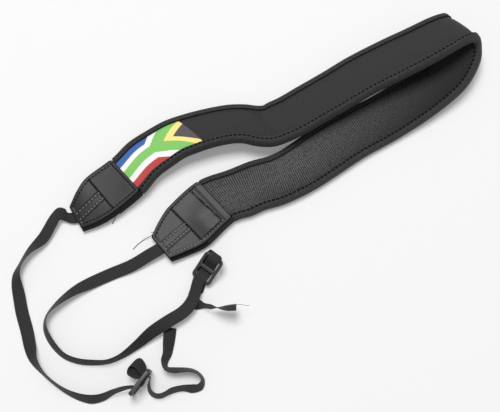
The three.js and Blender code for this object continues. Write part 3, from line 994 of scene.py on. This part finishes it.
# The way through each slider in its own frame. lean turns the edge towards the loop end.
PASS_COLUMNS = ("along", "above", "side", "lean")
PASS_A = [
    [-7.4, 3.9, 0, 20],
    [-5.6, 1.9, 0, 14],
    [-4, -0.4, 0, 5],
    [-2, -2.25, 0, 0],
    [0, -2.4, 0, 0],
    [2, -2.1, 0, 0],
    [3.4, -0.8, 0, 0],
    [3.4, 1.6, 0, -16],
    [3.2, 4.6, 0, -40],
    [2.9, 8, 0, -52],
    [3, 11.4, 0, -54],
    [5.6, 13.4, 0, -54],
    [8.4, 13.3, 0, -54],
    [10.2, 11.2, 0, -54],
    [9.8, 7.6, 0, -50],
    [8.6, 4.2, 0, -40],
    [7.4, 1.6, 0, -16],
    [7, -0.8, 0, -6],
    [7.4, -3.4, 0, 0],
]
PASS_B = [
    [-12.4, 2.7, 0, 180],
    [-10, 2.5, 0, 180],
    [-7.5, 1.5, 0, 180],
    [-4.5, -0.9, 0, 180],
    [-2, -2.25, 0, 180],
    [0, -2.4, 0, 180],
    [2, -2.25, 0, 180],
    [4.5, -0.9, 0, 180],
    [7.5, 1.6, -0.3, 180],
    [10, 2.6, -0.8, 180],
    [12.4, 2.3, -0.9, 180],
    [13, 0.5, -0.6, 180],
    [13.1, -2, 0.6, 180],
    [12.2, -4.6, 2.2, 180],
    [9, -5.8, 3.4, 180],
    [3, -5, 3.4, 180],
    [-4, -4, 2, 180],
    [-9.6, -3, 1, 180],
]
SLIDER_A = SimpleNamespace(x=-83, y=-140, z=9.5, heading=52.4, pitch=4, roll=-89)
SLIDER_B = SimpleNamespace(x=-33, y=-52.3, z=8.8, heading=53.5, pitch=28, roll=0)
WEBBING = SimpleNamespace(half=5.0, thick=1.0, tucked=-2.85, rib=1.6, weft=2.0, relief=0.3, step=0.32)
# The cut end of each tail is melted: how much thicker it is, and where before the end that starts.
MELTED = SimpleNamespace(extra=0.8, start=2.2, full=0.6)
# Where the webbing lies under the leather, in rows of the pad from its tip.
TUCKED_PLACES = (1.9, 1.4, 0.9, 0.4)


def slider_frame(place):
    turn = Matrix.Identity(4)
    for angle, axis in ((place.heading, "Z"), (-place.pitch, "Y"), (place.roll, "X")):
        turn = turn @ Matrix.Rotation(math.radians(angle), 4, axis)
    return Matrix.Translation((place.x, place.y, place.z)) @ turn


def strap_strip(tucked_places, run, slider, passing, tail):
    tucked = pad_strip.at(tucked_places)
    centres = list(tucked.centre + tucked.face * WEBBING.tucked)
    edges = list(tucked.edge)
    body = slider_frame(slider)
    for columns, table in ((RUN_COLUMNS, run), (PASS_COLUMNS, passing), (RUN_COLUMNS, tail)):
        for row in (dict(zip(columns, values)) for values in table):
            if "lean" in row:
                lean = math.radians(row["lean"])
                centres.append(body @ Vector((row["along"], row["side"], row["above"])))
                edges.append(body.to_3x3() @ Vector((math.sin(lean), -math.cos(lean), 0)))
            else:
                centres.append((row["x"], row["y"], row["z"]))
                edges.append(edge_towards(row["across"], row["rise"]))
    return Strip(centres, edges, [WEBBING.half] * len(centres))


# Woven polypropylene: matt black ribs across the strap, each a row of small beads of weft. They are
# drawn at 1.6 and 2 mm, because the real ones are about half that and would not show.
WEB_GREY, WEB_DARK = "#3a3a3a", "#070707"
web_cloth = finish_of("woven_polypropylene", Roughness=0.7, Specular_IOR_Level=0.3, Sheen_Weight=0.08)
tree = web_cloth.tree
cloth_map = node(tree, "ShaderNodeUVMap", uv_map="cloth")
cloth_xy = node(tree, "ShaderNodeSeparateXYZ", {0: cloth_map.outputs["UV"]})
waves = []
for key, pitch in (("X", WEBBING.rib), ("Y", WEBBING.weft)):
    phase = node(
        tree, "ShaderNodeMath", {0: cloth_xy.outputs[key], 1: 2 * math.pi / pitch}, operation="MULTIPLY"
    )
    waves.append(node(tree, "ShaderNodeMath", {0: phase.outputs[0]}, operation="COSINE").outputs[0])
checked = node(tree, "ShaderNodeMath", {0: waves[1], 1: 0.5, 2: waves[0]}, operation="MULTIPLY_ADD")
weave = node(
    tree, "ShaderNodeMapRange", {"Value": checked.outputs[0], "From Min": -1.5, "From Max": 1.5}
)
web_grey = node(
    tree,
    "ShaderNodeMix",
    {"Factor": weave.outputs["Result"], 6: linear(WEB_DARK), 7: linear(WEB_GREY)},
    data_type="RGBA",
)
web_bump = node(
    tree, "ShaderNodeBump", {"Height": weave.outputs["Result"], "Strength": 0.4, "Distance": 0.2 * MM}
)
tree.links.new(web_grey.outputs[2], web_cloth.shader.inputs["Base Color"])
tree.links.new(web_bump.outputs["Normal"], web_cloth.shader.inputs["Normal"])

tucked_b = [pad_strip.last - place for place in TUCKED_PLACES]
for name, places, run, slider, passing, tail in (
    ("a", TUCKED_PLACES, RUN_A, SLIDER_A, PASS_A, TAIL_A),
    ("b", tucked_b, RUN_B, SLIDER_B, PASS_B, TAIL_B),
):
    strip = strap_strip(places, run, slider, passing, tail)
    laid = strip.evenly(0, strip.last, WEBBING.step)
    spread = np.linspace(-1, 1, 9)
    rounded = WEBBING.thick / 2 * np.sqrt(1 - 0.75 * np.abs(spread) ** 8)
    rib = WEBBING.relief * (np.cos(laid.length * 2 * math.pi / WEBBING.rib)[:, None] - 1) / 2
    ring_across = WEBBING.half * np.concatenate([spread, spread[::-1]])[None, :] + 0 * rib
    end = laid.length[-1]
    melted = 1 + MELTED.extra * smooth(end - MELTED.start, end - MELTED.full, laid.length)[:, None]
    ring_out = np.hstack([-rounded - rib, rounded[::-1] + rib]) * melted
    keep(
        lofted("webbing_strap_" + name, laid, ring_across, ring_out, web_cloth.material, 70),
        "webbing",
        "webbing_" + name,
    )

# Thread ends: cut ends of the sewing thread left at the caps, and a strand drawn out of the melted end
# of tail B. They are bare strands, still held where they come out.
END_A = [(-107, -9.6, 2.4), (-108.6, -12.9, 0.6), (-109.7, -14.9, 0.5)]
END_B = [(-74.6, -22.4, 4.4), (-78.2, -24.9, 3), (-84.5, -28, 1), (-88.8, -31.5, 0.6), (-92.7, -35.5, 0.5)]
END_B_SHORT = [(-74.6, -23, 4.4), (-76.6, -22.4, 4.2), (-78.2, -22.3, 4)]
STRAND_B = [(-10.6, -81.6, 15.5), (-6.1, -81.6, 15.2), (-3.1, -82.2, 14.5), (-0.4, -81.9, 14)]
THREAD_ENDS = [
    ("thread_end_cap_a", "leather", 0.5, -30, END_A),
    ("thread_end_cap_b", "leather", 0.5, -50, END_B),
    ("thread_end_cap_b_short", "leather", 0.5, -90, END_B_SHORT),
    ("strand_tail_b", "webbing", 0.3, 90, STRAND_B),
]
THREAD_STEP = 0.8
around = np.linspace(0, 2 * math.pi, 6, endpoint=False)[None, :]
for name, slot, thick, aside, run in THREAD_ENDS:
    strip = Strip(run, [edge_towards(aside, 0)] * len(run), [thick / 2] * len(run))
    laid = strip.evenly(0, strip.last, THREAD_STEP)
    ring_across = laid.half[:, None] * np.cos(around)
    ring_out = laid.half[:, None] * np.sin(around)
    keep(lofted(name, laid, ring_across, ring_out, thread.material, 70), slot)

# Sliders: moulded frames with rounded corners and a middle bar. The webbing goes over one end bar,
# under the middle one and up again, makes the lug loop and comes back below the frame.
SLIDER = SimpleNamespace(long=24.0, wide=17.0, thick=3.0, corner=3.4, rail=2.4, bar=2.8, edge=0.6, inside=1.2)

# Acetal, moulded with a fine texture: dark grey with a satin shine on its rounded edges. The grit is
# drawn at half a millimetre, coarser than it is, so that it shows.
ACETAL_GREY, MOULD_GRIT = "#3d3c3e", 0.5
acetal = finish_of("moulded_acetal", Base_Color=linear(ACETAL_GREY), Roughness=0.4)
tree = acetal.tree
spot = node(tree, "ShaderNodeTexCoord").outputs["Object"]
grit = node(tree, "ShaderNodeTexNoise", {"Vector": spot, "Scale": 1 / (MOULD_GRIT * MM)})
grit_bump = node(
    tree, "ShaderNodeBump", {"Height": grit.outputs["Fac"], "Strength": 0.1, "Distance": 0.1 * MM}
)
tree.links.new(grit_bump.outputs["Normal"], acetal.shader.inputs["Normal"])


def rounded_outline(curve, long, wide, corner, shift, ring_steps=6):
    spline = curve.splines.new("POLY")
    points = []
    for quarter, (sx, sy) in enumerate(((1, -1), (1, 1), (-1, 1), (-1, -1))):
        for step in range(ring_steps + 1):
            angle = math.radians(90 * (quarter - 1 + step / ring_steps))
            points.append(
                (
                    shift + sx * (long / 2 - corner) + corner * math.cos(angle),
                    sy * (wide / 2 - corner) + corner * math.sin(angle),
                )
            )
    spline.points.add(len(points) - 1)
    for point, (x, y) in zip(spline.points, points):
        point.co = (x * MM, y * MM, 0, 1)
    spline.use_cyclic_u = True


for name, place in (("a", SLIDER_A), ("b", SLIDER_B)):
    curve = bpy.data.curves.new("slider_outline", "CURVE")
    curve.dimensions = "2D"
    curve.fill_mode = "BOTH"
    rounding = SLIDER.edge
    rounded_outline(
        curve, SLIDER.long - 2 * rounding, SLIDER.wide - 2 * rounding, SLIDER.corner - rounding, 0
    )
    slot = (SLIDER.long - 2 * SLIDER.rail - SLIDER.bar) / 2
    for side in (-1, 1):
        rounded_outline(
            curve,
            slot + 2 * rounding,
            SLIDER.wide - 2 * SLIDER.rail + 2 * rounding,
            SLIDER.inside + rounding,
            side * (slot + SLIDER.bar) / 2,
        )
    curve.extrude = (SLIDER.thick / 2 - rounding) * MM
    curve.bevel_depth = rounding * MM
    curve.bevel_resolution = 3
    outline = bpy.data.objects.new("slider_outline", curve)
    scene.collection.objects.link(outline)
    graph = bpy.context.evaluated_depsgraph_get()
    mesh = bpy.data.meshes.new_from_object(outline.evaluated_get(graph), depsgraph=graph)
    bpy.data.objects.remove(outline)
    body = slider_frame(place)
    body.translation = (body.translation - Vector(PLAN_MIDDLE)) * MM
    mesh.transform(body)
    mesh.polygons.foreach_set("use_smooth", [True] * len(mesh.polygons))
    mesh.set_sharp_from_angle(angle=math.radians(40))
    mesh.materials.clear()
    mesh.materials.append(acetal.material)
    made = bpy.data.objects.new("strap_slider_" + name, mesh)
    scene.collection.objects.link(made)
    keep(made, "plastic", "slider_" + name)
